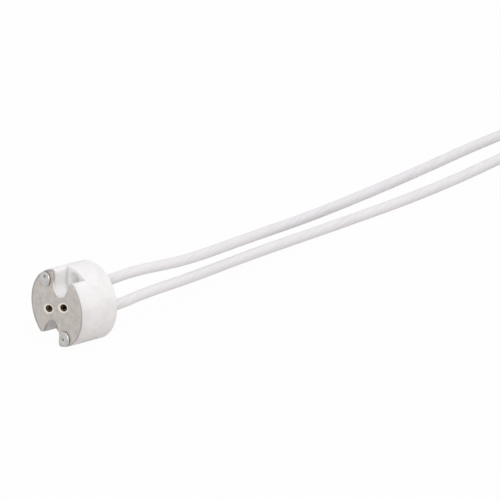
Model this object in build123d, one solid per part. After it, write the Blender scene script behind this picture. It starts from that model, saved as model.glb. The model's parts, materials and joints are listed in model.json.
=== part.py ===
from build123d import *

import math
import os

# Two-pin ceramic lamp holder, lying on its side. All lengths in millimetres, all angles in degrees.
#
# The holder's own frame: X across the face, Z along the line of the two screw notches, Y from the front
# face of the ceramic (Y = 0) to its rear. At the end every piece is rolled about Y and set on the floor.

# Ceramic body
body_diameter = 17.5
body_length = 9.8
front_edge_bevel = 0.2
rear_edge_bevel = 0.35
roll_angle = 14.0

# Cover sheet on the front face
cover_thickness = 0.5
cover_setback = 0.12

# Lamp pins
pin_spacing = 5.33
pin_line_angle = 31.0
pin_hole_diameter = 2.0

# Screw notches and the screw holes in their end walls
screw_edge_distance = 2.5
screw_hole_diameter = 3.2
notch_depth = 3.5
notch_root_radius = 2.25
notch_root_inset = 0.9
notch_flare_angle = 12.0
notch_lip_round = 0.8

# Rivets
rivet_edge_distance = 1.85
rivet_line_angle = 132.9
rivet_shank_diameter = 1.5
rivet_head_diameter = 3.2
rivet_head_height = 0.6
rivet_head_bevel = 0.25
rivet_dimple_diameter = 1.0
rivet_dimple_depth = 0.25
rivet_clinch_diameter = 2.2
rivet_clinch_height = 0.5
rivet_clinch_bevel = 0.2
rivet_hollow_diameter = 0.9
rivet_hollow_depth = 1.5
rivet_clearance = 0.05
rivet_recess_depth = 0.8
rivet_recess_clearance = 0.1

# Contacts, folded from spring strip
strip_thickness = 0.3
leaf_width = 2.2
leaf_root_gap = 2.0
leaf_throat_gap = 1.2
leaf_mouth_gap = 2.1
leaf_mouth_depth = 0.5
leaf_throat_depth = 2.4
leaf_shoulder_depth = 4.6
leaf_bend_radius = 0.4
crimp_offset = 2.85
crimp_front_depth = 3.2
crimp_rear_depth = 6.4
crimp_wrap_angle = 300.0
crimp_clearance = 0.05
contact_pocket_depth = 7.0
contact_pocket_side_clearance = 0.2
contact_pocket_end_clearance = 0.25
contact_pocket_corner = 0.6

# Leads
lead_diameter = 2.4
lead_hole_clearance = 0.1
lead_hole_chamfer = 0.3
core_diameter = 1.1
core_reach_past_crimp = 0.2
insulation_setback = 0.2
stripped_tip_length = 8.0
stripped_tip_diameter = 1.2
lead_straight_exit = 5.0
lead_bend_share = 0.45

# Routes of the leads after their straight exits, falling to the floor and then lying on it
lead_floor_height = lead_diameter / 2
upper_lead_route = [
    (-3.9, 20.0, 10.9),
    (-6.5, 37.0, 8.8),
    (-15.2, 61.0, 6.3),
    (-26.6, 90.0, 2.4),
    (-36.3, 124.0, lead_floor_height),
    (-46.1, 160.0, lead_floor_height),
    (-52.4, 196.0, lead_floor_height),
]
lower_lead_route = [
    (-0.6, 20.0, 6.5),
    (-5.2, 37.0, 5.1),
    (-13.2, 61.0, 3.2),
    (-20.7, 91.0, 1.3),
    (-26.0, 125.0, lead_floor_height),
    (-36.4, 162.0, lead_floor_height),
    (-45.5, 199.0, lead_floor_height),
]

# Values that follow from the sizes above
cut_margin = 1.0
cut_overlap = 0.1
body_radius = body_diameter / 2
screw_radius = body_radius - screw_edge_distance
notch_root_center = screw_radius - notch_root_inset
rivet_radius = body_radius - rivet_edge_distance
rivet_recess_floor = body_length - rivet_recess_depth
rivet_hole_radius = rivet_shank_diameter / 2 + rivet_clearance
pin_x = pin_spacing / 2 * math.cos(math.radians(pin_line_angle))
pin_z = pin_spacing / 2 * math.sin(math.radians(pin_line_angle))
leaf_outer_offset = leaf_root_gap / 2 + strip_thickness
crimp_inner_radius = core_diameter / 2 + crimp_clearance
crimp_outer_radius = crimp_inner_radius + strip_thickness
crimp_side_shift = leaf_outer_offset - crimp_outer_radius
insulation_start = contact_pocket_depth + insulation_setback
front_of_heads = -cover_thickness - rivet_head_height
middle_depth = (front_of_heads + body_length) / 2
holder_place = Pos(0, -middle_depth, body_radius) * Rot(0, roll_angle, 0)


def slab(outline, front_depth, rear_depth):
    """Extrude an outline drawn across the face, from one depth behind the front face to another."""
    start_plane = Plane.XZ.offset(-front_depth)
    return extrude(start_plane * outline, amount=front_depth - rear_depth)


def opposite(shape):
    """The same shape turned half round the holder's axis."""
    return Rot(0, 180, 0) * shape


def screw_notch(side):
    """Outline of one screw notch: a round root and two flanks that flare out past the rim."""
    flare = math.radians(notch_flare_angle)
    reach = body_diameter
    tangent_x = notch_root_radius * math.cos(flare)
    tangent_y = notch_root_center - notch_root_radius * math.sin(flare)
    far_x = tangent_x + reach * math.sin(flare)
    far_y = tangent_y + reach * math.cos(flare)
    root = (0, notch_root_center - notch_root_radius)
    edges = [
        ThreePointArc((-tangent_x, tangent_y), root, (tangent_x, tangent_y)),
        Line((tangent_x, tangent_y), (far_x, far_y)),
        Line((far_x, far_y), (-far_x, far_y)),
        Line((-far_x, far_y), (-tangent_x, tangent_y)),
    ]
    return Rot(0, 0, 0 if side > 0 else 180) * make_face(edges)


def notched_disc(radius):
    """A disc with the two screw notches cut out and its four lips rounded."""
    disc = Circle(radius) - screw_notch(1) - screw_notch(-1)
    lips = [corner for corner in disc.vertices() if abs(corner.Y) > radius / 2
            and math.isclose(math.hypot(corner.X, corner.Y), radius, rel_tol=1e-4)]
    return fillet(lips, notch_lip_round)


def contact_pocket():
    """Outline of the left contact's pocket, round the two leaves and the crimp barrel."""
    width = 2 * (leaf_outer_offset + contact_pocket_side_clearance)
    low = -leaf_width / 2 - contact_pocket_end_clearance
    high = crimp_offset + crimp_outer_radius + contact_pocket_end_clearance
    middle = (low + high) / 2
    return Pos(-pin_x, -pin_z + middle) * RectangleRounded(width, high - low, contact_pocket_corner)


def crimp_center():
    """Where the left contact's crimp barrel and its lead lie, across the face."""
    return -pin_x - crimp_side_shift, -pin_z + crimp_offset


def rivet_center():
    """Where the upper rivet lies, across the face."""
    angle = math.radians(rivet_line_angle)
    return rivet_radius * math.cos(angle), rivet_radius * math.sin(angle)


def make_ceramic_body():
    """The pressed ceramic: notched front half, round rear half, pockets and holes."""
    front_half = slab(notched_disc(body_radius), 0, notch_depth)
    front_rim = front_half.faces().sort_by(Axis.Y)[0].outer_wire()
    front_half = chamfer(front_rim.edges(), front_edge_bevel)
    rear_half = slab(Circle(body_radius), notch_depth, body_length)
    rear_rim = rear_half.faces().sort_by(Axis.Y)[-1].outer_wire()
    rear_half = chamfer(rear_rim.edges(), rear_edge_bevel)
    body = front_half + rear_half

    pocket = slab(contact_pocket(), -cut_margin, contact_pocket_depth)
    lead_hole_radius = lead_diameter / 2 + lead_hole_clearance
    lead_place = Pos(*crimp_center())
    lead_hole = slab(lead_place * Circle(lead_hole_radius), contact_pocket_depth - cut_overlap, body_length)
    mouth_height = lead_hole_chamfer
    mouth = Cone(lead_hole_radius + mouth_height, lead_hole_radius, mouth_height)
    mouth_x, mouth_z = crimp_center()
    lead_hole += Pos(mouth_x, body_length - mouth_height / 2, mouth_z) * Rot(90, 0, 0) * mouth
    screw_hole = slab(Pos(0, screw_radius) * Circle(screw_hole_diameter / 2), 0, body_length + cut_margin)
    rivet_place = Pos(*rivet_center())
    rivet_hole = slab(rivet_place * Circle(rivet_hole_radius), -cut_margin, body_length + cut_margin)
    recess_radius = rivet_clinch_diameter / 2 + rivet_recess_clearance
    rivet_hole += slab(rivet_place * Circle(recess_radius), rivet_recess_floor, body_length + cut_margin)
    for cut in (pocket, lead_hole, screw_hole, rivet_hole):
        body = body - cut - opposite(cut)
    return body


def make_mica_cover():
    """The cover sheet: the body's outline set back a little, with pin holes and rivet holes."""
    outline = notched_disc(body_radius - cover_setback)
    pin_hole = Pos(pin_x, pin_z) * Circle(pin_hole_diameter / 2)
    rivet_hole = Pos(*rivet_center()) * Circle(rivet_hole_radius)
    for hole in (pin_hole, rivet_hole):
        outline = outline - hole - Rot(0, 0, 180) * hole
    return slab(outline, -cover_thickness, 0)


def make_rivet():
    """The upper rivet, turned: dimpled head on the cover, shank, and a hollow end clinched at the rear."""
    head_top = front_of_heads
    head_seat = -cover_thickness
    head_radius = rivet_head_diameter / 2
    shank_radius = rivet_shank_diameter / 2
    clinch_radius = rivet_clinch_diameter / 2
    clinch_end = rivet_recess_floor + rivet_clinch_height
    hollow_radius = rivet_hollow_diameter / 2
    hollow_floor = rivet_recess_floor - rivet_hollow_depth
    corners = Polyline(
        (0, head_top + rivet_dimple_depth),
        (rivet_dimple_diameter / 2, head_top),
        (head_radius, head_top),
        (head_radius, head_seat),
        (shank_radius, head_seat),
        (shank_radius, rivet_recess_floor),
        (clinch_radius, rivet_recess_floor),
        (clinch_radius, clinch_end),
        (hollow_radius, clinch_end),
        (hollow_radius, hollow_floor),
        (0, hollow_floor),
        close=True,
    )
    profile = make_face(corners)
    head_edge = profile.vertices().sort_by_distance((head_radius, head_top))[0]
    profile = chamfer(head_edge, rivet_head_bevel)
    clinch_edge = profile.vertices().sort_by_distance((clinch_radius, clinch_end))[0]
    profile = chamfer(clinch_edge, rivet_clinch_bevel)
    rivet = revolve(profile, Axis.Y)
    center_x, center_z = rivet_center()
    return Pos(center_x, 0, center_z) * rivet


def make_contact():
    """The left contact: two bowed leaves on a base, and a crimp barrel rolled from a tab on the outer leaf."""
    half_strip = strip_thickness / 2
    root = leaf_root_gap / 2 + half_strip
    throat = leaf_throat_gap / 2 + half_strip
    mouth = leaf_mouth_gap / 2 + half_strip
    base_depth = contact_pocket_depth - half_strip
    bend = FilletPolyline(
        (mouth, leaf_mouth_depth),
        (throat, leaf_throat_depth),
        (root, leaf_shoulder_depth),
        (root, base_depth),
        (-root, base_depth),
        (-root, leaf_shoulder_depth),
        (-throat, leaf_throat_depth),
        (-mouth, leaf_mouth_depth),
        radius=leaf_bend_radius,
    )
    leaves = extrude(trace(bend, strip_thickness), amount=leaf_width / 2, both=True)

    barrel_center = (-crimp_side_shift, crimp_offset)
    barrel_line = CenterArc(barrel_center, crimp_inner_radius + half_strip, 180, -crimp_wrap_angle)
    barrel = slab(trace(barrel_line, strip_thickness), crimp_front_depth, crimp_rear_depth)
    tab_length = crimp_offset - leaf_width / 2 + strip_thickness
    tab_middle = crimp_offset - tab_length / 2
    tab = slab(
        Pos(-root, tab_middle) * Rectangle(strip_thickness, tab_length),
        leaf_shoulder_depth + leaf_bend_radius,
        crimp_rear_depth,
    )
    contact = leaves + barrel + tab
    return Pos(-pin_x, 0, -pin_z) * contact


def make_core():
    """The stripped front end of the left contact's lead, in its crimp barrel."""
    core = Pos(*crimp_center()) * Circle(core_diameter / 2)
    return slab(core, crimp_front_depth - core_reach_past_crimp, insulation_start)


def lead_points(core, route):
    """The start of a lead behind its core, the end of its straight exit, and then its route."""
    start_face = core.faces().sort_by(Axis.Y)[-1]
    start = start_face.center()
    rear_y = body_length - middle_depth
    exit_end = Vector(start.X, rear_y + lead_straight_exit, start.Z)
    return [start, exit_end] + [Vector(*point) for point in route]


def bend_radii(points):
    """The largest radius that each corner's two runs leave room for."""
    radii = []
    for before, corner, after in zip(points, points[1:], points[2:]):
        run_in = corner - before
        run_out = after - corner
        half_turn = math.radians(run_in.get_angle(run_out)) / 2
        radii.append(lead_bend_share * min(run_in.length, run_out.length) / math.tan(half_turn))
    return radii


def make_lead(name, core, route):
    """A lead's insulated tube and its stripped far end."""
    points = lead_points(core, route)
    radii = bend_radii(points)
    line = FilletPolyline(*points, radius=radii)
    section = Plane(origin=line @ 0, z_dir=line % 0) * Circle(lead_diameter / 2)
    tube = sweep(section, path=line)
    tip_section = Plane(origin=line @ 1, z_dir=line % 1) * Circle(stripped_tip_diameter / 2)
    tip = extrude(tip_section, amount=stripped_tip_length)
    expected_volume = math.pi * lead_diameter**2 / 4 * line.length
    print(name, "length", round(line.length, 1), "radii", [round(radius) for radius in radii])
    print(name, "volume", round(tube.volume, 2), "section times length", round(expected_volume, 2))
    return tube, tip


left_contact = make_contact()
upper_core = holder_place * make_core()
lower_core = holder_place * opposite(make_core())
upper_lead, upper_tip = make_lead("upper lead", upper_core, upper_lead_route)
lower_lead, lower_tip = make_lead("lower lead", lower_core, lower_lead_route)
upper_rivet = make_rivet()

pieces = {
    "ceramic_body": holder_place * make_ceramic_body(),
    "mica_cover": holder_place * make_mica_cover(),
    "rivets": holder_place * Compound([upper_rivet.solid(), opposite(upper_rivet).solid()]),
    "left_contact": holder_place * left_contact,
    "right_contact": holder_place * opposite(left_contact),
    "upper_lead_core": upper_core,
    "lower_lead_core": lower_core,
    "upper_lead": upper_lead,
    "lower_lead": lower_lead,
    "upper_lead_tip": upper_tip,
    "lower_lead_tip": lower_tip,
}

os.makedirs("parts", exist_ok=True)
for name, piece in pieces.items():
    export_step(piece, f"parts/{name}.step")
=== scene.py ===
import json
import math
from collections import namedtuple

import bmesh
import bpy
from bpy.props import FloatProperty, FloatVectorProperty, IntProperty, PointerProperty
from mathutils import Matrix, Vector, noise


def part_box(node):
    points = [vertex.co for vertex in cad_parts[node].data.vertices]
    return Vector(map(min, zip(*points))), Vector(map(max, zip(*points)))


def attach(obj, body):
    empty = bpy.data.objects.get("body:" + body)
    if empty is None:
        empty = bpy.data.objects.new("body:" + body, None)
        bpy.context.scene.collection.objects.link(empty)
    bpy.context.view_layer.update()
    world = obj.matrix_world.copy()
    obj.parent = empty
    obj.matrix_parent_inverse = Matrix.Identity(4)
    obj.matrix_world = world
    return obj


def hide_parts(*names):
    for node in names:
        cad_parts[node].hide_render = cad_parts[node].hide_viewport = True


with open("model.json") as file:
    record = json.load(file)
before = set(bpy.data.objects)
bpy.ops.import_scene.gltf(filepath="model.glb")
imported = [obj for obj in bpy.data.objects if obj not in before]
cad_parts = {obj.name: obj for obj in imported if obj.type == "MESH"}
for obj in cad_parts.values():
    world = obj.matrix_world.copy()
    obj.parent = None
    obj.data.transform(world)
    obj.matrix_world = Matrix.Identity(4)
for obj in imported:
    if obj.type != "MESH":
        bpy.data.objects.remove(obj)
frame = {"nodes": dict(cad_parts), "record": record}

bl_info = {
    "name": "Ceramic lamp holder",
    "version": (1, 0, 0),
    "blender": (4, 5, 0),
    "location": "3D View, Sidebar, Lamp holder",
    "description": "Finishes a two-pin ceramic lamp holder with its leads and lights it on a pale floor",
    "category": "Object",
}

# What the frame says: all lengths in metres, X to the right, Y from the front to the rear, Z up
to_right = Vector((1, 0, 0))
to_rear = Vector((0, 1, 0))
upward = Vector((0, 0, 1))
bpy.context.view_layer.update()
record = frame["record"]
nodes = frame["nodes"]
mounts = {mount["name"]: mount for mount in record["mounts"]}
openings = {opening["name"]: opening["box_m"] for opening in record["physics"]["openings"]}
body_low, body_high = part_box("ceramic_body")
cover_low, cover_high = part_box("mica_cover")
rivets_low, rivets_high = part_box("rivets")

body_middle = (body_low + body_high) / 2
body_length = body_high.y - body_low.y
body_radius = (body_high.x - body_low.x) / 2
cover_thickness = cover_high.y - cover_low.y
cover_radius = (cover_high.x - cover_low.x) / 2
rivet_front = rivets_low.y - body_low.y
rivet_rear = rivets_high.y - body_low.y
screw_circle_radius = mounts["fixing_screws"]["dims"]["pcd_mm"] / 2000
screw_hole_radius = mounts["fixing_screws"]["dims"]["hole_r_mm"] / 1000
pins = {side: Vector(mounts[f"{side}_pin_hole"]["pos_m"]) for side in ("left", "right")}

# The holder's own frame has its origin in the middle of the ceramic's front face, with Y to the rear and
# Z through the upper notch. It lies on its side, rolled a little to the right.
notch_low, notch_high = (Vector(corner) for corner in openings["upper_screw_notch"])
notch_offset = (notch_low + notch_high) / 2 - body_middle
roll_angle = math.atan2(notch_offset.x, notch_offset.z)
holder_place = (
    Matrix.Translation((body_middle.x, body_low.y, body_middle.z))
    @ Matrix.Rotation(roll_angle, 4, "Y")
)

# Routes of the leads after their straight exits, falling to the floor and then lying on it
lead_floor_height = 0.0012
lead_straight_exit = 0.005
upper_lead_route = [
    (-0.0039, 0.020, 0.0109),
    (-0.0065, 0.037, 0.0088),
    (-0.0152, 0.061, 0.0063),
    (-0.0266, 0.090, 0.0024),
    (-0.0363, 0.124, lead_floor_height),
    (-0.0461, 0.160, lead_floor_height),
    (-0.0524, 0.196, lead_floor_height),
]
lower_lead_route = [
    (-0.0006, 0.020, 0.0065),
    (-0.0052, 0.037, 0.0051),
    (-0.0132, 0.061, 0.0032),
    (-0.0207, 0.091, 0.0013),
    (-0.0260, 0.125, lead_floor_height),
    (-0.0364, 0.162, lead_floor_height),
    (-0.0455, 0.199, lead_floor_height),
]

# Steps in which round shapes are drawn
circle_steps = 56
rivet_hole_steps = 40
rivet_steps = 48
floor_steps = 64
root_steps = 16
flank_steps = 7
lip_steps = 12
round_steps = 34
edge_steps = 5
fillet_steps = 4
rim_steps = 6
crown_steps = 6
clinch_steps = 8
route_steps = 32
steps_per_ridge = 6
strand_steps = 32
strand_sides = 8

# How far apart leaves, layers of strands and strands lie in the noise that varies them
leaf_noise_step = 3.7
layer_noise_step = 5.3
strand_noise_step = 1.7
strand_noise_start = 0.4

# Widths as shares: a strand's cut end of the strand, the dimple's rim of the dimple
strand_end_share = 0.6
dimple_rim_share = 1.25

# Small lengths: edges that count as none, bevels, how far cutters stand out, how unevenly strands are cut,
# and how softly shapes and finishes change
shortest_edge = 1e-6
small_bevel = 0.00005
clinch_bevel = 0.0001
body_clear = 0.0005
cover_clear = 0.0003
strand_unevenness = 0.0002
lip_fade = 0.0006
ragged_fade = 0.00012
border_fade = 0.00025
stain_fade = 0.0003
ledge_fade = 0.00006
ledge_line = 0.00001


def property_maker(kind, **settings):
    """A function that describes properties of one kind, which get their names later."""
    def describe(description, default):
        return lambda name: kind(name=name, description=description, default=default, **settings)
    return describe


def named(group):
    """Name the properties of a group after their identifiers."""
    for key, make in group.__annotations__.items():
        group.__annotations__[key] = make(key.replace("_", " ").capitalize())
    return group


length = property_maker(FloatProperty, min=0, precision=5, unit="LENGTH")
angle = property_maker(FloatProperty, subtype="ANGLE")
lamp_power = property_maker(FloatProperty, min=0, unit="POWER")
fraction = property_maker(FloatProperty, min=0, max=1, subtype="FACTOR")
pixels = property_maker(FloatProperty, min=0, subtype="PIXEL")
plain_value = property_maker(FloatProperty, min=0, subtype="UNSIGNED")
whole_number = property_maker(IntProperty, min=1, subtype="UNSIGNED")
colour = property_maker(FloatVectorProperty, min=0, max=1, subtype="COLOR")
room_place = property_maker(FloatVectorProperty, subtype="TRANSLATION")
face_step = property_maker(FloatVectorProperty, size=2, precision=5, subtype="XYZ", unit="LENGTH")


@named
class HolderSizes(bpy.types.PropertyGroup):
    """Sizes of the ceramic body's visible shapes and hollows."""

    front_edge_round: length("Rounding of the front edge", 0.00025)
    rear_edge_round: length("Rounding of the rear rim", 0.00045)
    notch_depth: length("From the front face to the ledge", 0.0035)
    notch_root_radius: length("Radius of a notch's root", 0.00225)
    notch_root_inset: length("From a screw's axis to the root's centre", 0.0009)
    notch_flare: angle("Lean of a notch's flanks", math.radians(12))
    notch_lip_round: length("Rounding where a flank meets the rim", 0.0008)
    wall_fillet: length("Rounding at the foot of a notch's wall", 0.00018)
    # Height of the painted shade at the feet of the notches' walls
    corner_shade_height: length("How far dust reaches up the notches' walls", 0.0009)
    ledge_round: length("Rounding of the ledge's outer edge", 0.00022)
    hole_mouth_round: length("Rounding of the screw holes' mouths", 0.00018)
    lead_hole_radius: length("Radius of a lead's hole", 0.0013)
    lead_mouth: length("Bevel at the mouth of a lead's hole", 0.0003)
    rivet_recess_radius: length("Radius of the recess round a rivet's end", 0.0012)
    rivet_recess_depth: length("Depth of that recess", 0.0008)
    pocket_width: length("Width of a contact's pocket", 0.0030)
    pocket_length: length("Length of a contact's pocket", 0.00535)
    pocket_shift: length("From a pin's axis to the middle of its pocket", 0.001325)
    pocket_corner: length("Rounding of a pocket's corners", 0.0006)
    pocket_depth: length("Depth of a contact's pocket", 0.0070)
    stain_radius: length("How far a pocket is stained round its pin", 0.0022)


@named
class CoverSizes(bpy.types.PropertyGroup):
    """Sizes of the mica cover."""

    leaves: whole_number("Layers that show along the sheet's edge", 5)
    leaf_ragging: length("How far the leaves' edges fall back", 0.00007)
    ragging_patch: length("Length over which the ragging changes", 0.0007)
    notch_chipping: length("How far the front leaf falls back along the notches", 0.00008)
    pin_hole_height: length("Half height of an oblong pin hole", 0.00079)
    pin_hole_stretch: length("How much further a pin hole reaches along the pins", 0.00044)
    rim_width: length("Width of the bevel round a pin hole", 0.00032)
    rim_depth: length("Depth of that bevel", 0.00014)
    border_width: length("Width of the dark border", 0.00060)
    pale_line: length("Width of the broken mica round a notch's root", 0.00016)
    pale_reach: length("From the axis to where the cut edge darkens", 0.0050)
    dark_reach: length("From the axis to where the cut edge is dark", 0.0064)
    flake_size: length("Size of the mica's flakes", 0.0009)
    rivet_hole_radius: length("Radius of the holes for the rivets", 0.0008)


@named
class RivetSizes(bpy.types.PropertyGroup):
    """Sizes of the two rivets."""

    head_radius: length("Radius of a head", 0.0016)
    head_round: length("Rounding of a head's edge", 0.00028)
    crown: length("Height of a head's middle over its edge", 0.00006)
    dimple_radius: length("Radius of the dimple in a head", 0.00034)
    dimple_depth: length("Depth of the dimple", 0.00018)
    upper_dimple: face_step("From the upper head's middle to its dimple", (0.0, 0.00060))
    lower_dimple: face_step("From the lower head's middle to its dimple", (-0.00012, -0.00028))
    shank_radius: length("Radius of the shank", 0.00075)
    clinch_radius: length("Radius of the clinched rear end", 0.0011)
    clinch_height: length("Thickness of the clinched rear end", 0.0005)
    hollow_radius: length("Radius of the hollow in the rear end", 0.00045)
    hollow_depth: length("Depth of that hollow", 0.0015)


@named
class LeadSizes(bpy.types.PropertyGroup):
    """Sizes of the leads and their stripped ends."""

    diameter: length("Outer diameter of the insulation", 0.0024)
    lay_pitch: length("Length in which the strands go round once", 0.030)
    lay_relief: length("Depth of the strands' pattern in the insulation", 0.000012)
    lay_count: whole_number("Ridges that show round the insulation", 7)
    cut_round: length("Rounding of the insulation's cut edge", 0.00010)
    bore_radius: length("Radius of the insulation's bore", 0.00064)
    bore_depth: length("How far the bore shows at the cut end", 0.0006)
    tip_length: length("Length of the bare strands", 0.008)
    strand_radius: length("Radius of one strand", 0.00012)
    strand_pitch: length("Length in which a bare strand goes round once", 0.013)


@named
class FinishColours(bpy.types.PropertyGroup):
    """Colours of the finishes."""

    ceramic: colour("Clear parts of the ceramic", (0.84, 0.825, 0.83))
    ceramic_shade: colour("Denser patches of the ceramic", (0.78, 0.762, 0.765))
    ceramic_speck: colour("Few dark specks in the ceramic", (0.52, 0.50, 0.47))
    # Painted shade on the notches' walls: at their feet, and all over the lower notch
    notch_painted_shade: colour("Dust on the notches' walls", (0.58, 0.57, 0.55))
    # Painted light: the screw holes' walls are lighter than the rest of the ceramic
    screw_hole_painted_light: colour("The walls of the screw holes", (0.96, 0.95, 0.95))
    left_pocket: colour("Stained walls of the left pocket", (0.78, 0.66, 0.49))
    right_pocket: colour("Stained walls of the right pocket", (0.82, 0.50, 0.36))
    mica: colour("Mean colour of the mica", (0.592, 0.558, 0.523))
    mica_dark: colour("Darker flakes", (0.494, 0.462, 0.430))
    mica_light: colour("Lighter flakes", (0.720, 0.684, 0.648))
    mica_edge: colour("Broken mica round the pin holes", (0.89, 0.85, 0.78))
    mica_cut: colour("Cut edge in the notches", (0.78, 0.765, 0.74))
    # Painted shade on the outer border and on the cut edge along the notches' flanks
    mica_painted_shade: colour("Border and cut edge all round", (0.41, 0.385, 0.372))
    # Painted shade on the pin holes' walls
    left_pin_hole: colour("Walls of the left pin hole", (0.13, 0.11, 0.07))
    right_pin_hole: colour("Walls of the right pin hole", (0.16, 0.085, 0.055))
    rivet: colour("Bright metal of the rivets", (0.56, 0.55, 0.545))
    rivet_bloom: colour("Dull patches on the rivets", (0.45, 0.44, 0.42))
    # Painted shade in the rivets' dimples, round the heads' feet and in the hollows
    grime: colour("Dirt in the rivets' corners", (0.07, 0.065, 0.06))
    contact: colour("Plated strip", (0.36, 0.24, 0.13))
    contact_stain: colour("Heat stain on the strip", (0.18, 0.09, 0.05))
    strand: colour("Tinned copper", (0.71, 0.69, 0.66))
    strand_rub: colour("Copper where the tin is rubbed", (0.66, 0.44, 0.30))
    insulation: colour("White insulation", (0.815, 0.795, 0.815))
    insulation_shade: colour("Thin places of the insulation", (0.75, 0.73, 0.755))
    floor: colour("Pale floor", (0.69, 0.66, 0.635))


@named
class StageSettings(bpy.types.PropertyGroup):
    """The camera, the lamps and the floor."""

    azimuth: angle("The camera's turn to the right of the front", math.radians(50.81))
    elevation: angle("The camera's height over the horizon", math.radians(19.22))
    distance: length("From the camera to the cover", 3.0)
    frame_pixels: pixels("Width of the picture", 500)
    pixels_per_metre: plain_value("Pixels to the metre at the cover", 4588)
    cover_across: pixels("Column of the cover's middle", 55.9)
    cover_down: pixels("Row of the cover's middle", 308.36)
    sky_strength: plain_value("Strength of the even light all round", 0.66)
    floor_glow: fraction("Share of the floor that shows as plain white", 0.97)
    floor_radius: length("Radius of the floor", 2.5)
    lamp_size: length("Width of each round lamp", 0.55)
    top_place: room_place("Where the lamp overhead hangs", (0.0, 0.0, 1.2))
    top_power: lamp_power("Power of the lamp overhead", 1.95)
    upper_place: room_place("Where the lamp high on the right hangs", (0.75, 0.0, 0.95))
    upper_power: lamp_power("Power of the lamp high on the right", 3.15)
    front_place: room_place("Where the low lamp in front stands", (0.8, -0.8, 0.35))
    front_power: lamp_power("Power of the low lamp in front", 2.85)


groups = {
    "lamp_holder_sizes": HolderSizes,
    "lamp_holder_cover": CoverSizes,
    "lamp_holder_rivets": RivetSizes,
    "lamp_holder_leads": LeadSizes,
    "lamp_holder_colours": FinishColours,
    "lamp_holder_stage": StageSettings,
}


def chosen(group):
    """The values that one group of properties holds in this scene."""
    return getattr(bpy.context.scene, f"lamp_holder_{group}")


def math_operator(operation, reflected=False):
    """A Python operator that adds a Math node on a signal and a signal or number."""
    def apply(self, other):
        pair = (other, self) if reflected else (self, other)
        return self.finish.math(operation, *pair)
    return apply


class Signal:
    """A value on a material's wires. Arithmetic on it adds Math nodes."""

    def __init__(self, finish, socket):
        self.finish = finish
        self.socket = socket

    __add__ = math_operator("ADD")
    __radd__ = math_operator("ADD", reflected=True)
    __sub__ = math_operator("SUBTRACT")
    __rsub__ = math_operator("SUBTRACT", reflected=True)
    __mul__ = math_operator("MULTIPLY")
    __rmul__ = math_operator("MULTIPLY", reflected=True)
    __pow__ = math_operator("POWER")


class Finish:
    """A node tree that a surface or the sky is made in."""

    def __init__(self, owner):
        owner.use_nodes = True
        self.owner = owner
        self.tree = owner.node_tree
        self.tree.nodes.clear()

    def node(self, kind, settings, inputs, output=0):
        """Add a node: its settings first, then its sockets' wires, values or names of colours. Gives one of
        its outputs."""
        made = self.tree.nodes.new(kind)
        for key, value in settings.items():
            setattr(made, key, value)
        for key, value in inputs.items():
            if isinstance(value, Signal):
                self.tree.links.new(value.socket, made.inputs[key])
            elif isinstance(value, str):
                made.inputs[key].default_value = (*getattr(chosen("colours"), value), 1.0)
            else:
                made.inputs[key].default_value = value
        return Signal(self, made.outputs[output]) if made.outputs else None

    def math(self, operation, first, second):
        """A Math node on two values."""
        return self.node("ShaderNodeMath", {"operation": operation}, {0: first, 1: second})

    def vector_math(self, operation, first, second, output):
        """A Vector Math node on two vectors."""
        return self.node("ShaderNodeVectorMath", {"operation": operation}, {0: first, 1: second}, output)

    def mix(self, share, first, second):
        """One colour fading into another."""
        return self.node("ShaderNodeMix", {"data_type": "RGBA"}, {0: share, 6: first, 7: second}, 2)

    def band(self, value, low, high):
        """0 up to one value and 1 from another, with a soft step between them."""
        settings = {"interpolation_type": "SMOOTHSTEP"}
        return self.node("ShaderNodeMapRange", settings, {0: value, 1: low, 2: high})

    def scaled(self, vector, x, y, z):
        """A vector with each part multiplied."""
        return self.vector_math("MULTIPLY", vector, (x, y, z), "Vector")

    def along(self, place, way, start):
        """How far a place lies along a direction from a start."""
        return self.vector_math("DOT_PRODUCT", place, way, "Value") - start.dot(way)

    def from_line(self, place, point):
        """How far a place lies from the line to the rear through a point."""
        across = self.scaled(place, 1.0, 0.0, 1.0)
        return self.vector_math("DISTANCE", across, (point.x, 0.0, point.z), "Value")

    def cloud(self, vector, size, detail=3.0, roughness=0.55):
        """Noise whose patches are about as long as size."""
        inputs = {"Vector": vector, "Scale": 1 / size, "Detail": detail, "Roughness": roughness}
        return self.node("ShaderNodeTexNoise", {}, inputs, "Fac")

    def bump(self, height, depth):
        """A normal for relief of that depth in metres."""
        return self.node("ShaderNodeBump", {}, {"Height": height, "Distance": depth, "Strength": 1.0})

    def surface(self, base, roughness, normal, others):
        """Close the material with a surface. Gives the material."""
        inputs = {"Base Color": base, "Roughness": roughness, "Normal": normal, **others}
        shader = self.node("ShaderNodeBsdfPrincipled", {}, inputs)
        self.node("ShaderNodeOutputMaterial", {}, {"Surface": shader})
        return self.owner


def new_finish(name):
    """A new material's node tree, and the place of a point in its piece's own frame."""
    finish = Finish(bpy.data.materials.new(name))
    return finish, finish.node("ShaderNodeTexCoord", {}, {}, "Object")


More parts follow.
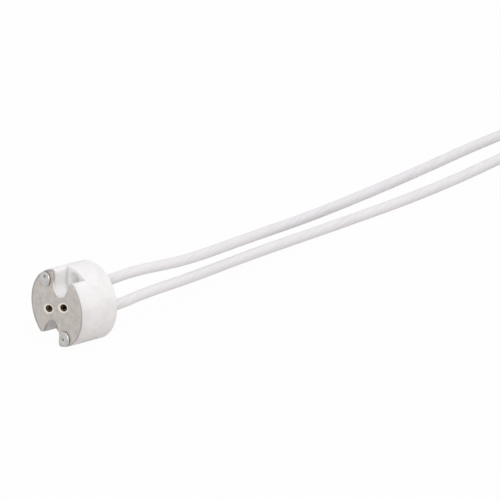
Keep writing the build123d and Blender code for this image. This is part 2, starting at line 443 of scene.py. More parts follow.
def ceramic_finish():
    """Pressed white ceramic: satin, faintly cloudy, with a fine grain and a few specks. Shade is painted at
    the feet of the notches' walls and all over the lower notch, and light is painted into the screw holes'
    walls, which are lighter. The contacts' pockets are stained round the pins."""
    sizes = chosen("sizes")
    finish, place = new_finish("pressed_ceramic")
    grain = finish.cloud(place, 0.00012)
    patches = finish.cloud(place, 0.0026)
    specks = finish.band(finish.cloud(place, 0.00035, 1.0), 0.70, 0.78)
    base = finish.mix(finish.band(patches, 0.40, 0.72), "ceramic", "ceramic_shade")
    base = finish.mix(specks * 0.30, base, "ceramic_speck")

    depth = finish.along(place, to_rear, body_low)
    ledge = sizes.notch_depth
    # Painted shade: darker at the feet of the notches' walls and over the walls of the lower notch
    foot = finish.band(depth, ledge - sizes.corner_shade_height, ledge - sizes.wall_fillet)
    lower_half = 1 - finish.band(finish.along(place, upward, body_middle), -body_radius / 4, 0.0)
    notch_shade = finish.math("MAXIMUM", 0.6 * foot, 0.38 * lower_half)
    above_ledge = 1 - finish.band(depth, ledge - ledge_fade, ledge - ledge_line)
    lip_start = body_radius - sizes.notch_lip_round
    lip_end = body_radius - sizes.front_edge_round
    inside = 1 - finish.band(finish.from_line(place, body_middle), lip_start, lip_end)
    base = finish.mix(notch_shade * above_ledge * inside, base, "notch_painted_shade")

    # Painted light: the screw holes' walls are painted lighter than the rest of the ceramic
    mouth = sizes.hole_mouth_round
    below_ledge = finish.band(depth, ledge, ledge + mouth)
    for side in (1, -1):
        screw = holder_place @ at_depth(Vector((0, side * screw_circle_radius)), 0)
        bore = 1 - finish.band(finish.from_line(place, screw) - screw_hole_radius, small_bevel, mouth)
        base = finish.mix(bore * below_ledge, base, "screw_hole_painted_light")

    in_pocket = 1 - finish.band(depth, 0.8 * sizes.pocket_depth, sizes.pocket_depth)
    stain_end = sizes.stain_radius
    for side, pin in pins.items():
        near_pin = 1 - finish.band(finish.from_line(place, pin), stain_end - stain_fade, stain_end)
        base = finish.mix(near_pin * in_pocket, base, f"{side}_pocket")
    relief = finish.bump(grain + 0.6 * patches, 0.000010)
    return finish.surface(base, 0.40 + 0.14 * grain, relief, {
        "Subsurface Weight": 0.55,
        "Subsurface Radius": (1.0, 0.95, 0.90),
        "Subsurface Scale": 0.0022,
    })


def mica_finish():
    """Grey-beige mica sheet: mottled flakes with a dull shine. It is pale where it is broken, round the pin
    holes and the notches' roots. Shade is painted dark along its outer edge, fading out on the right of its
    face, and along the cut edge of the notches' flanks. The pin holes' walls are painted dark as shade,
    with a metallic shine."""
    sizes = chosen("cover")
    holder = chosen("sizes")
    finish, place = new_finish("flaky_mica")
    mottle = finish.cloud(place, 0.0016, 4.0, 0.62)
    drift = finish.cloud(place, 0.0060, 2.0)
    fine = finish.cloud(finish.scaled(place, 1.0, 1.0, 1.6), 0.00028, 2.0)
    flakes = finish.node(
        "ShaderNodeTexVoronoi",
        {"feature": "F1"},
        {"Vector": finish.scaled(place, 1.0, 0.4, 1.5), "Scale": 1 / sizes.flake_size, "Randomness": 1.0},
        "Color",
    )
    flake_tone = finish.node("ShaderNodeSeparateColor", {}, {0: flakes}, 0)
    tone = 0.55 * mottle + 0.20 * drift + 0.12 * flake_tone + 0.13 * fine
    base = finish.mix(finish.band(tone, 0.34, 0.52), "mica_dark", "mica")
    base = finish.mix(finish.band(tone, 0.50, 0.72), base, "mica_light")

    depth = finish.along(place, to_rear, cover_low)
    from_axis = finish.from_line(place, body_middle)
    ragged = ragged_fade * (fine - 0.5)
    # Painted shade: a dark border along the outer edge, fading out towards the lit right side
    border_start = cover_radius - sizes.border_width
    shaded_border = finish.band(from_axis + ragged, border_start, border_start + border_fade)
    half_radius = cover_radius / 2
    lit_side = finish.band(finish.along(place, to_right, body_middle), -half_radius, half_radius)
    base = finish.mix(0.95 * (1 - lit_side) * shaded_border, base, "mica_painted_shade")
    # Painted shade on the sheet's cut edge along the notches' flanks, pale broken mica near their roots
    leaf_thickness = cover_thickness / sizes.leaves
    behind_leaf = finish.band(depth, leaf_thickness * 0.8, leaf_thickness * 1.1)
    flank = finish.band(from_axis, sizes.pale_reach, sizes.dark_reach)
    base = finish.mix(0.9 * behind_leaf, base, finish.mix(flank, "mica_cut", "mica_painted_shade"))

    for side in (1, -1):
        root_height = side * (screw_circle_radius - holder.notch_root_inset)
        root = holder_place @ at_depth(Vector((0, root_height)), 0)
        from_root = finish.from_line(place, root) - holder.notch_root_radius
        pale = 1 - finish.band(from_root + 2 * ragged, sizes.pale_line * 0.6, sizes.pale_line * 1.2)
        base = finish.mix(0.7 * pale * (1 - flank), base, "mica_cut")

    pins_along = (pins["right"] - pins["left"]).normalized()
    pins_over = pins_along.cross(to_rear)
    squash = sizes.pin_hole_height / (sizes.pin_hole_height + sizes.pin_hole_stretch)
    rim_end = sizes.pin_hole_height + sizes.rim_width
    behind_rim = finish.band(depth, sizes.rim_depth * 0.8, sizes.rim_depth * 1.1)
    shaded_walls = []
    for side, pin in pins.items():
        along = finish.along(place, pins_along, pin) * squash
        over = finish.along(place, pins_over, pin)
        reach = (along * along + over * over) ** 0.5
        rim = 1 - finish.band(reach + ragged, rim_end, rim_end + ragged_fade)
        base = finish.mix(0.9 * rim, base, "mica_edge")
        # Painted shade: the pin holes' walls are dark, with a metallic shine
        wall = behind_rim * rim
        base = finish.mix(wall, base, f"{side}_pin_hole")
        shaded_walls.append(wall)
    relief = finish.bump(mottle + 0.5 * flake_tone + 0.4 * fine, 0.000018)
    return finish.surface(base, 0.36 + 0.26 * mottle, relief, {"Metallic": 0.8 * sum(shaded_walls)})


def rivet_finish():
    """Pressed bright metal with fine turning marks, a dull bloom, and painted shade where the mesh says so.
    """
    finish, place = new_finish("rivet_metal")
    bloom = finish.cloud(place, 0.0008, 4.0)
    marks = finish.cloud(finish.scaled(place, 1.0, 6.0, 1.0), 0.00010, 2.0)
    # Painted shade from the mesh: darker, rougher and less metallic in the dimple, the head's foot and the
    # hollow
    grime = finish.node("ShaderNodeAttribute", {"attribute_name": "grime"}, {}, "Fac")
    base = finish.mix(finish.band(bloom, 0.35, 0.75), "rivet", "rivet_bloom")
    base = finish.mix(grime, base, "grime")
    roughness = 0.16 + 0.22 * bloom + 0.3 * grime
    relief = finish.bump(marks + bloom, 0.000012)
    return finish.surface(base, roughness, relief, {"Metallic": 1.0 - 0.6 * grime})


def contact_finish():
    """Plated spring strip, stained brown by heat."""
    finish, place = new_finish("plated_strip")
    stain = finish.band(finish.cloud(place, 0.0012, 4.0), 0.38, 0.66)
    rolling = finish.cloud(finish.scaled(place, 1.0, 0.1, 1.0), 0.00008, 2.0)
    base = finish.mix(stain, "contact", "contact_stain")
    return finish.surface(base, 0.24 + 0.20 * stain, finish.bump(rolling, 0.000006), {"Metallic": 1.0})


def strand_finish():
    """Tinned copper strands: soft shine with a few coppery rubs."""
    finish, place = new_finish("tinned_strands")
    rubs = finish.band(finish.cloud(place, 0.0007, 3.0), 0.62, 0.78)
    dull = finish.cloud(place, 0.0003)
    base = finish.mix(rubs * 0.5, "strand", "strand_rub")
    return finish.surface(base, 0.26 + 0.20 * dull, finish.bump(dull, 0.000006), {"Metallic": 1.0})


def insulation_finish():
    """White insulation drawn thin over twisted strands, whose lay shows as faint slanting streaks."""
    finish, place = new_finish("white_insulation")
    lay = finish.node("ShaderNodeAttribute", {"attribute_name": "lay"}, {}, "Vector")
    streaks = finish.cloud(finish.scaled(lay, 3.0, 3.0, 90.0), 1.0, 3.0)
    fine_streaks = finish.cloud(finish.scaled(lay, 9.0, 9.0, 160.0), 1.0, 2.0)
    grain = finish.cloud(place, 0.00016)
    tone = 0.65 * streaks + 0.35 * fine_streaks
    base = finish.mix(finish.band(tone, 0.42, 0.66), "insulation", "insulation_shade")
    relief = finish.bump(tone + 0.1 * grain, 0.000007)
    return finish.surface(base, 0.34 + 0.20 * tone, relief, {})


white = (1.0, 1.0, 1.0, 1.0)


def seen_directly(finish):
    """1 for rays from the camera, a mirror or glass, and 0 for light that falls on the object."""
    seen = 0.0
    for ray in ("Camera", "Glossy", "Transmission"):
        seen = finish.math("MAXIMUM", seen, finish.node("ShaderNodeLightPath", {}, {}, f"Is {ray} Ray"))
    return seen


def floor_finish():
    """Pale matt floor that shows nearly white and keeps a faint shadow."""
    finish = Finish(bpy.data.materials.new("pale_floor"))
    matt = finish.node("ShaderNodeBsdfDiffuse", {}, {"Color": "floor"})
    glow = finish.node("ShaderNodeEmission", {}, {"Color": white, "Strength": 1.0})
    share = seen_directly(finish) * chosen("stage").floor_glow
    shader = finish.node("ShaderNodeMixShader", {}, {0: share, 1: matt, 2: glow})
    finish.node("ShaderNodeOutputMaterial", {}, {"Surface": shader})
    return finish.owner


def sky_finish(world):
    """White behind the object, and a softer even light on it."""
    finish = Finish(world)
    strength = chosen("stage").sky_strength
    light = finish.node("ShaderNodeBackground", {}, {"Color": white, "Strength": strength})
    glow = finish.node("ShaderNodeBackground", {}, {"Color": white, "Strength": 1.0})
    shader = finish.node("ShaderNodeMixShader", {}, {0: seen_directly(finish), 1: light, 2: glow})
    finish.node("ShaderNodeOutputWorld", {}, {"Surface": shader})


def finished_mesh(name, builder):
    """The mesh that a builder holds. The builder is freed."""
    mesh = bpy.data.meshes.new(name)
    builder.to_mesh(mesh)
    builder.free()
    return mesh


def skin(name, rings):
    """A closed mesh through rings of points, with a flat cap on the first ring and on the last."""
    builder = bmesh.new()
    rows = [[builder.verts.new(point) for point in ring] for ring in rings]
    for row, next_row in zip(rows, rows[1:]):
        for step in range(len(row)):
            builder.faces.new((row[step - 1], row[step], next_row[step], next_row[step - 1]))
    builder.faces.new(rows[0])
    builder.faces.new(rows[-1])
    bmesh.ops.recalc_face_normals(builder, faces=builder.faces)
    return finished_mesh(name, builder)


def joined(name, parts):
    """One mesh with the faces of several."""
    builder = bmesh.new()
    for part in parts:
        builder.from_mesh(part)
        bpy.data.meshes.remove(part)
    return finished_mesh(name, builder)


def shown(name, content):
    """A new object in the scene."""
    made = bpy.data.objects.new(name, content)
    bpy.context.scene.collection.objects.link(made)
    return made


def cut_away(mesh, cutters):
    """The mesh less each of the closed cutters, without edges of no length and faces of many sides."""
    body = shown("uncut", mesh)
    tools = [shown("cutter", cutter) for cutter in cutters]
    for tool in tools:
        modifier = body.modifiers.new("cut", "BOOLEAN")
        modifier.operation = "DIFFERENCE"
        modifier.solver = "EXACT"
        modifier.object = tool
    depsgraph = bpy.context.evaluated_depsgraph_get()
    result = bpy.data.meshes.new_from_object(body.evaluated_get(depsgraph))
    builder = bmesh.new()
    builder.from_mesh(result)
    bmesh.ops.dissolve_degenerate(builder, dist=shortest_edge, edges=builder.edges)
    bmesh.ops.triangulate(builder, faces=[face for face in builder.faces if len(face.verts) > 4])
    builder.to_mesh(result)
    builder.free()
    for spent in [body, *tools]:
        content = spent.data
        bpy.data.objects.remove(spent)
        bpy.data.meshes.remove(content)
    return result


def finished_piece(name, mesh, material, replaced, crease, place=Matrix.Identity(4)):
    """Show a mesh as a piece on the part's one body, in the place of the nodes that it stands for. Edges
    are sharp where their faces meet at more than the crease, in degrees."""
    mesh.transform(place)
    mesh.shade_smooth()
    mesh.set_sharp_from_angle(angle=math.radians(crease))
    mesh.materials.clear()
    mesh.materials.append(material)
    piece = shown(name, mesh)
    weighted = piece.modifiers.new("even_shading", "WEIGHTED_NORMAL")
    weighted.keep_sharp = True
    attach(piece, "root")
    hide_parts(*replaced)
    return piece


def unit(turn):
    """The direction across the face at an angle from X towards Z."""
    return Vector((math.cos(turn), math.sin(turn)))


def turning(first, last, count):
    """Directions that turn evenly from one angle to another, the last left out."""
    return [unit(first + (last - first) * step / count) for step in range(count)]


def rounding(count):
    """Shares of a quarter round, from its start on one face to its end on the next."""
    turns = [math.pi / 2 * step / count for step in range(count + 1)]
    return [(1 - math.sin(turn), 1 - math.cos(turn)) for turn in turns]


def at_depth(point, depth):
    """A point across the face, at a depth behind the ceramic's front face."""
    return Vector((point.x, depth, point.y))


def flat(point):
    """A point of the row frame as seen from the front, across the holder's face."""
    inside = holder_place.inverted() @ Vector(point)
    return Vector((inside.x, inside.z))


def middle(node):
    """The middle of a CAD node's box."""
    low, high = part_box(node)
    return (low + high) / 2


def turned(center, profile, count=circle_steps, along=unit(0), stretch=0):
    """Rings round an axis that runs from front to rear, from pairs of radius and depth. The stretch draws
    them out on both sides along a direction."""
    circle = [(way, way.dot(along) * stretch * along) for way in turning(0, math.tau, count)]
    return [
        [at_depth(center + radius * way + drawn, depth) for way, drawn in circle]
        for radius, depth in profile
    ]


def rounded_box(center, width, height, corner, depths):
    """Rings of a box with round corners, from front to rear."""
    ring = []
    for quarter, (across, up) in enumerate([(1, 1), (-1, 1), (-1, -1), (1, -1)]):
        pivot = center + Vector((across * (width / 2 - corner), up * (height / 2 - corner)))
        start = quarter * math.pi / 2
        ring += [pivot + corner * way for way in turning(start, start + math.pi / 2, rim_steps)]
    return [[at_depth(point, depth) for point in ring] for depth in depths]


Station = namedtuple("Station", "point normal rim gap")


def notched_outline(radius):
    """Stations round a disc with the two screw notches: each has its point, its outward normal, the
    direction of the rim point behind it, and its gap to the rim."""
    sizes = chosen("sizes")
    flare = sizes.notch_flare
    lip = sizes.notch_lip_round
    flank_normal = Vector((-math.cos(flare), math.sin(flare)))
    flank_along = Vector((math.sin(flare), math.cos(flare)))
    root_center = Vector((0, screw_circle_radius - sizes.notch_root_inset))
    flank_start = root_center - sizes.notch_root_radius * flank_normal
    lip_line = flank_start - lip * flank_normal
    along = lip_line.dot(flank_along)
    flank_length = math.sqrt((radius - lip) ** 2 - lip_line.length_squared + along**2) - along
    lip_center = lip_line + flank_length * flank_along
    lip_end = math.atan2(lip_center.y, lip_center.x)

    notch = []
    for way in turning(-math.pi / 2, -flare, root_steps):
        notch.append((root_center + sizes.notch_root_radius * way, -way))
    for step in range(flank_steps):
        notch.append((flank_start + flank_along * flank_length * step / flank_steps, flank_normal))
    for way in turning(math.pi - flare, lip_end, lip_steps):
        notch.append((lip_center + lip * way, way))

    ends = [point for point, _ in notch[1:]] + [radius * unit(lip_end)]
    runs = [(end - point).length for (point, _), end in zip(notch, ends)]
    quarter = []
    travelled = 0
    for (point, normal), run in zip(notch, runs):
        rim = unit(math.pi / 2 + (lip_end - math.pi / 2) * travelled / sum(runs))
        quarter.append(Station(point, normal, rim, radius - point.length))
        travelled += run
    quarter += [Station(radius * way, way, way, 0) for way in turning(lip_end, 0, round_steps)]

    side = unit(0)
    half = quarter + [Station(radius * side, side, side, 0)]
    down = Matrix.Diagonal((1, -1))
    for point, normal, rim, gap in reversed(quarter):
        half.append(Station(down @ point, down @ normal, down @ rim, gap))
    half.pop()
    return half + [Station(-point, -normal, -rim, gap) for point, normal, rim, gap in half]


def rivet_centers():
    """The two rivets' axes across the face."""
    head = chosen("rivets").head_radius
    upper = flat((rivets_low.x + head, rivets_low.y, rivets_high.z - head))
    return [upper, -upper]


def ceramic_cutters(sizes):
    """Closed shapes of the body's holes, recesses and pockets."""
    mouth = sizes.hole_mouth_round
    hole = screw_hole_radius
    past_rear = body_length + body_clear
    screw_profile = [(hole + mouth, sizes.notch_depth - body_clear)]
    for outward, down in rounding(edge_steps):
        screw_profile.append((hole + mouth * outward, sizes.notch_depth + mouth * down))
    for short, outward in rounding(edge_steps):
        screw_profile.append((hole + mouth * outward, body_length - mouth * short))
    screw_profile.append((hole + mouth, past_rear))
    lead_hole = sizes.lead_hole_radius
    lead_mouth = lead_hole + sizes.lead_mouth
    lead_profile = [
        (lead_hole, sizes.pocket_depth - body_clear),
        (lead_hole, body_length - sizes.lead_mouth),
        (lead_mouth, body_length),
        (lead_mouth, past_rear),
    ]
    shank_hole = chosen("cover").rivet_hole_radius
    recess_floor = body_length - sizes.rivet_recess_depth
    rivet_profile = [
        (shank_hole, -body_clear),
        (shank_hole, recess_floor),
        (sizes.rivet_recess_radius, recess_floor),
        (sizes.rivet_recess_radius, past_rear),
    ]
    box = (sizes.pocket_width, sizes.pocket_length, sizes.pocket_corner, [-body_clear, sizes.pocket_depth])
    right_pin = flat(pins["right"])
    cutters = []
    for side in (1, -1):
        screw = Vector((0, side * screw_circle_radius))
        cutters.append(skin("screw_hole", turned(screw, screw_profile)))
        pocket = side * Vector((right_pin.x, right_pin.y - sizes.pocket_shift))
        cutters.append(skin("pocket", rounded_box(pocket, *box)))
    for core in ("upper_lead_core", "lower_lead_core"):
        cutters.append(skin("lead_hole", turned(flat(middle(core)), lead_profile)))
    for center in rivet_centers():
        cutters.append(skin("rivet_hole", turned(center, rivet_profile, rivet_hole_steps)))
    return cutters


def ceramic_mesh():
    """The ceramic body: a short cylinder with two notches down to ledges, and its holes."""
    sizes = chosen("sizes")
    front = sizes.front_edge_round
    rear = sizes.rear_edge_round
    fillet = sizes.wall_fillet
    brow = sizes.ledge_round
    wall = body_radius
    outline = notched_outline(wall)
    rings = []
    for inward, back in rounding(edge_steps):
        rings.append([at_depth(s.point - front * inward * s.normal, front * back) for s in outline])

    # Away from the notches the rings of the ledge lie evenly down the plain wall. Near a notch's lip they
    # fade into the shape of the ledge.
    foot = sizes.notch_depth - fillet
    ledge_bends = [(out * fillet, -short * fillet, None) for short, out in rounding(fillet_steps)]
    ledge_bends += [(None, down * brow, inward * brow) for inward, down in rounding(fillet_steps)]
    for number, (outward, below, inward) in enumerate(ledge_bends):
        even_depth = foot + (fillet + brow) * number / (len(ledge_bends) - 1)
        ring = []
        for station in outline:
            fade = min(1, station.gap / lip_fade)
            depth = even_depth + fade * (sizes.notch_depth + below - even_depth)
            if inward is None:
                ring.append(at_depth(station.point + fade * outward * station.normal, depth))
            else:
                ring.append(at_depth((wall - fade * inward) * station.rim, depth))
        rings.append(ring)

    for short, inward in rounding(rim_steps):
        depth = body_length - rear * short
        rings.append([at_depth((wall - rear * inward) * s.rim, depth) for s in outline])
    return cut_away(skin("ceramic_body", rings), ceramic_cutters(sizes))


def cover_mesh():
    """The mica cover: a thin notched sheet of leaves, with pin holes and rivet holes."""
    sizes = chosen("cover")
    rings = []
    for leaf in range(sizes.leaves):
        ring = []
        for station in notched_outline(cover_radius):
            spot = Vector((station.point.x, station.point.y, 0)) / sizes.ragging_patch
            ragging = 0.5 + 0.5 * noise.noise(spot + Vector((0, 0, leaf_noise_step * leaf)))
            back = sizes.leaf_ragging * ragging
            if leaf == 0:
                back += sizes.notch_chipping * (0.6 + 0.4 * ragging) * min(1, station.gap / lip_fade)
            ring.append(station.point - back * station.normal)
        for face in (leaf, leaf + 1):
            depth = cover_thickness * (face / sizes.leaves - 1)
            rings.append([at_depth(point, depth) for point in ring])
    hole = sizes.pin_hole_height
    rim = hole + sizes.rim_width
    front = -cover_thickness
    pin_profile = [
        (rim, front - cover_clear),
        (rim, front),
        (hole + sizes.rim_width * 0.35, front + sizes.rim_depth * 0.5),
        (hole, front + sizes.rim_depth),
        (hole, cover_clear),
    ]
    rivet_profile = [(sizes.rivet_hole_radius, front - cover_clear), (sizes.rivet_hole_radius, cover_clear)]
    pin = flat(pins["right"])
    oblong = (pin_profile, circle_steps, pin.normalized(), sizes.pin_hole_stretch)
    cutters = [skin("pin_hole", turned(center, *oblong)) for center in (pin, -pin)]
    for center in rivet_centers():
        cutters.append(skin("rivet_hole", turned(center, rivet_profile, rivet_hole_steps)))
    return cut_away(skin("mica_cover", rings), cutters)


def rivet_mesh():
    """Both rivets: a low crowned head with a dimple, the shank, and a clinched hollow end at the rear.
    Shade is painted in the dimple, round the head's foot and in the hollow."""
    sizes = chosen("rivets")
    head = sizes.head_radius
    edge = sizes.head_round
    shank = sizes.shank_radius
    dimple = sizes.dimple_radius
    dimple_rim = dimple * dimple_rim_share
    top = rivet_front
    seat = -cover_thickness
    flat_radius = head - edge
    # Each ring has its radius, its depth and its painted shade
    profile = []
    for turn, grime in ((0.3, 0.6), (0.7, 0.6), (1.1, 0.45)):
        profile.append((dimple * math.sin(turn), top + sizes.dimple_depth * math.cos(turn), grime))
    profile += [(dimple * 1.05, top + sizes.dimple_depth * 0.12, 0.2), (dimple_rim, top, 0)]
    dimple_rings = len(profile)
    for step in range(1, crown_steps):
        reach = dimple_rim + (flat_radius - dimple_rim) * step / crown_steps
        profile.append((reach, top + sizes.crown * (reach / flat_radius) ** 2, 0))
    crown_rings = len(profile)
    for inward, down in rounding(rim_steps):
        profile.append((head - edge * inward, top + sizes.crown + edge * down, 0 if inward else 0.25))
    profile += [(head, seat - small_bevel, 1), (head - small_bevel, seat, 1), (shank, seat, 1)]
    clinch_start = rivet_rear - sizes.clinch_height
    profile += [(shank, clinch_start, 0), (sizes.clinch_radius - clinch_bevel, clinch_start, 0)]
    roll_radius = (sizes.clinch_radius - sizes.hollow_radius) / 2
    roll_middle = sizes.clinch_radius - roll_radius
    for step in range(clinch_steps + 1):
        turn = math.pi * step / clinch_steps
        depth = rivet_rear - roll_radius * 0.8 * (1 - math.sin(turn))
        profile.append((roll_middle + roll_radius * math.cos(turn), depth, 0))
    profile.append((sizes.hollow_radius, rivet_rear - sizes.hollow_depth, 0.8))

    # The dimple lies off the middle, and the rings of the crown lead over from it to the round head
    rivets = []
    for center, dimple_step in zip(rivet_centers(), (sizes.upper_dimple, sizes.lower_dimple)):
        rings = turned(center, [ring[:2] for ring in profile], rivet_steps)
        for number, ring in enumerate(rings[:crown_rings]):
            share = min(1, (crown_rings - number) / (crown_rings - dimple_rings))
            for point in ring:
                point += share * at_depth(dimple_step, 0)
        rivets.append(skin("rivet", rings))
    mesh = joined("rivets", rivets)
    values = [ring[2] for ring in profile for _ in range(rivet_steps)] * len(rivets)
    mesh.attributes.new("grime", "FLOAT", "POINT").data.foreach_set("value", values)
    return mesh


def smooth_line(points):
    """Points close together on the smooth line that a route of control points gives."""
    curve = bpy.data.curves.new("route", "CURVE")
    curve.dimensions = "3D"
    spline = curve.splines.new("NURBS")
    spline.points.add(len(points) - 1)
    for control, point in zip(spline.points, points):
        control.co = (*point, 1)
    spline.order_u = 3
    spline.use_endpoint_u = True
    spline.resolution_u = route_steps
    carrier = shown("route", curve)
    drawn = bpy.data.meshes.new_from_object(carrier)
    line = [vertex.co.copy() for vertex in drawn.vertices]
    bpy.data.objects.remove(carrier)
    bpy.data.curves.remove(curve)
    bpy.data.meshes.remove(drawn)
    return line


def cross_frame(along):
    """Directions to the side and upwards across a line."""
    side = along.cross(upward).normalized()
    return side, side.cross(along).normalized()


def lead_mesh(name, line):
    """The insulation along a line, with the strands' lay faintly in its surface and a clean cut at its
    end."""
    sizes = chosen("leads")
    radius = sizes.diameter / 2
    sides = steps_per_ridge * sizes.lay_count
    ends = [line[0], *line, line[-1]]
    stops = []
    travelled = 0
    for before, center, after in zip(ends, line, ends[2:]):
        travelled += (center - before).length
        stops.append((center, (after - before).normalized(), radius, travelled))
    end, along, _, total = stops.pop()
    cut = sizes.cut_round
    bore = sizes.bore_radius
    edges = [(radius - cut * inward, -cut * short) for short, inward in rounding(fillet_steps)]
    edges += [(bore + small_bevel, 0), (bore, -small_bevel), (bore, -sizes.bore_depth)]
    stops += [(end + along * further, along, reach, total + further) for reach, further in edges]

    rings = []
    lay = []
    for center, along, reach, distance in stops:
        side, up = cross_frame(along)
        turn = math.tau * distance / sizes.lay_pitch
        ring = []
        for number in range(sides):
            phase = math.tau * number / sides
            way = unit(phase + turn)
            ridge = 0.5 + 0.5 * math.cos(sizes.lay_count * phase)
            shrunk = reach - sizes.lay_relief * ridge
            ring.append(center + shrunk * (way.x * side + way.y * up))
            lay += [math.cos(phase), math.sin(phase), distance]
        rings.append(ring)
    mesh = skin(name, rings)
    mesh.attributes.new("lay", "FLOAT_VECTOR", "POINT").data.foreach_set("vector", lay)
    return mesh


def tip_mesh(name, line):
    """Bare twisted strands that come out of a lead's cut end: one in the middle, six round it and twelve
    outside."""
    sizes = chosen("leads")
    along = (line[-1] - line[-2]).normalized()
    side, up = cross_frame(along)
    thin = sizes.strand_radius
    circle = turning(0, math.tau, strand_sides)
    strands = []
    for layer, count in enumerate((1, 6, 12)):
        for number in range(count):
            spot = (layer * layer_noise_step, number * strand_noise_step, strand_noise_start)
            unevenness = 0.5 + 0.5 * noise.noise(spot)
            reach = sizes.tip_length - strand_unevenness * unevenness
            rings = []
            for step in range(strand_steps + 1):
                share = step / strand_steps
                distance = reach * share
                lean = math.tau * (number / count + distance / sizes.strand_pitch)
                way = unit(lean) * 2 * thin * layer
                center = line[-1] + along * (distance - sizes.bore_depth * (1 - share))
                center += way.x * side + way.y * up
                width = thin if step < strand_steps else thin * strand_end_share
                rings.append([center + width * (w.x * side + w.y * up) for w in circle])
            strands.append(skin("strand", rings))
    return joined(name, strands)


def make_lead(name, core, route):
    """One lead from its crimp to its stripped end."""
    sizes = chosen("leads")
    crimp = middle(core)
    start = Vector((crimp.x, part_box(core)[1].y, crimp.z))
    mouth = Vector((crimp.x, body_high.y, crimp.z))
    straight_end = mouth + Vector((0, lead_straight_exit, 0))
    line = smooth_line([start, straight_end, *route])
    tube = finished_piece(
        f"{name}_insulation", lead_mesh(name, line), insulation_finish(), [name], 40
    )
    tip = finished_piece(
        f"{name}_strands", tip_mesh(name, line), strand_finish(), [f"{name}_tip"], 50
    )


class LAMPHOLDER_OT_leads(bpy.types.Operator):
    """Lay the two insulated leads and their stripped ends"""

    bl_idname = "lampholder.leads"
    bl_label = "Leads"

    def execute(self, context):
        make_lead("upper_lead", "upper_lead_core", upper_lead_route)
        make_lead("lower_lead", "lower_lead_core", lower_lead_route)
        return {"FINISHED"}


class LAMPHOLDER_OT_ceramic(bpy.types.Operator):
    """Shape the notched ceramic body"""

    bl_idname = "lampholder.ceramic"
    bl_label = "Ceramic body"

    def execute(self, context):
        mesh = ceramic_mesh()
        material = ceramic_finish()
        finished_piece(
            "ceramic_holder", mesh, material, ["ceramic_body"], 35, holder_place
        )
        return {"FINISHED"}


class LAMPHOLDER_OT_cover(bpy.types.Operator):
    """Cut the mica cover"""

    bl_idname = "lampholder.cover"
    bl_label = "Mica cover"

    def execute(self, context):
        mesh = cover_mesh()
        material = mica_finish()
        finished_piece("mica_sheet", mesh, material, ["mica_cover"], 30, holder_place)
        return {"FINISHED"}


class LAMPHOLDER_OT_rivets(bpy.types.Operator):
    """Set the two rivets"""

    bl_idname = "lampholder.rivets"
    bl_label = "Rivets"

    def execute(self, context):
        mesh = rivet_mesh()
        material = rivet_finish()
        finished_piece("rivet_pair", mesh, material, ["rivets"], 40, holder_place)
        return {"FINISHED"}


class LAMPHOLDER_OT_contacts(bpy.types.Operator):
    """Finish the contacts and the strands in their crimps"""

    bl_idname = "lampholder.contacts"
    bl_label = "Contacts"

    def execute(self, context):
        finishes = [
            (contact_finish(), ("left_contact", "right_contact")),
            (strand_finish(), ("upper_lead_core", "lower_lead_core")),
        ]
        for material, names in finishes:
            for name in names:
                for place in nodes[name].material_slots:
                    place.material = material
        return {"FINISHED"}


def point_at(thing, place, way):
    """Put a camera or a lamp in its place, looking along a direction."""
    thing.location = place
    thing.rotation_mode = "QUATERNION"
    thing.rotation_quaternion = way.to_track_quat("-Z", "Y")


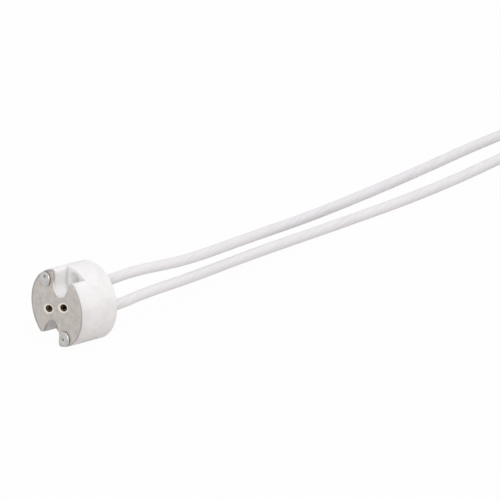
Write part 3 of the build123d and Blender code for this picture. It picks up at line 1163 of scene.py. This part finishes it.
class LAMPHOLDER_OT_stage(bpy.types.Operator):
    """Set the camera, the lamps, the sky and the floor"""

    bl_idname = "lampholder.stage"
    bl_label = "Stage"

    def execute(self, context):
        scene = context.scene
        stage = chosen("stage")
        scene.view_settings.view_transform = "Standard"

        level = math.cos(stage.elevation)
        back = Vector((
            math.sin(stage.azimuth) * level, -math.cos(stage.azimuth) * level, math.sin(stage.elevation)
        ))
        right = Vector((math.cos(stage.azimuth), math.sin(stage.azimuth), 0))
        up = back.cross(right)
        half = stage.frame_pixels / 2
        aim = Vector((body_middle.x, cover_low.y, body_middle.z))
        aim -= right * (stage.cover_across - half) / stage.pixels_per_metre
        aim += up * (stage.cover_down - half) / stage.pixels_per_metre
        lens = bpy.data.cameras.new("camera")
        lens.sensor_width = 36
        lens.lens = stage.pixels_per_metre * lens.sensor_width * stage.distance / stage.frame_pixels
        lens.clip_end = 20
        scene.camera = shown("camera", lens)
        point_at(scene.camera, aim + back * stage.distance, -back)

        for lamp in ("top", "upper", "front"):
            place = Vector(getattr(stage, f"{lamp}_place"))
            light = bpy.data.lights.new(f"{lamp}_lamp", "AREA")
            light.shape = "DISK"
            light.size = stage.lamp_size
            light.energy = getattr(stage, f"{lamp}_power")
            point_at(shown(f"{lamp}_lamp", light), place, body_middle - place)

        builder = bmesh.new()
        edge = [stage.floor_radius * way for way in turning(0, math.tau, floor_steps)]
        builder.faces.new([builder.verts.new((*point, 0)) for point in edge])
        ground = finished_mesh("floor", builder)
        ground.materials.append(floor_finish())
        shown("floor", ground)

        scene.world = bpy.data.worlds.new("white_room")
        sky_finish(scene.world)
        return {"FINISHED"}


steps = [
    LAMPHOLDER_OT_stage,
    LAMPHOLDER_OT_leads,
    LAMPHOLDER_OT_ceramic,
    LAMPHOLDER_OT_cover,
    LAMPHOLDER_OT_rivets,
    LAMPHOLDER_OT_contacts,
]


class LAMPHOLDER_PT_steps(bpy.types.Panel):
    """The steps that build the lamp holder"""

    bl_idname = "LAMPHOLDER_PT_steps"
    bl_label = "Lamp holder"
    bl_space_type = "VIEW_3D"
    bl_region_type = "UI"
    bl_category = "Lamp holder"

    def draw(self, context):
        for step in steps:
            self.layout.operator(step.bl_idname)


register_classes, unregister_classes = bpy.utils.register_classes_factory(
    [*groups.values(), *steps, LAMPHOLDER_PT_steps]
)


def register():
    register_classes()
    for name, group in groups.items():
        setattr(bpy.types.Scene, name, PointerProperty(type=group))


def unregister():
    for name in groups:
        delattr(bpy.types.Scene, name)
    unregister_classes()


def main():
    register()
    bpy.ops.lampholder.stage()
    bpy.ops.lampholder.leads()
    bpy.ops.lampholder.ceramic()
    bpy.ops.lampholder.cover()
    bpy.ops.lampholder.rivets()
    bpy.ops.lampholder.contacts()


if __name__ == "__main__":
    main()
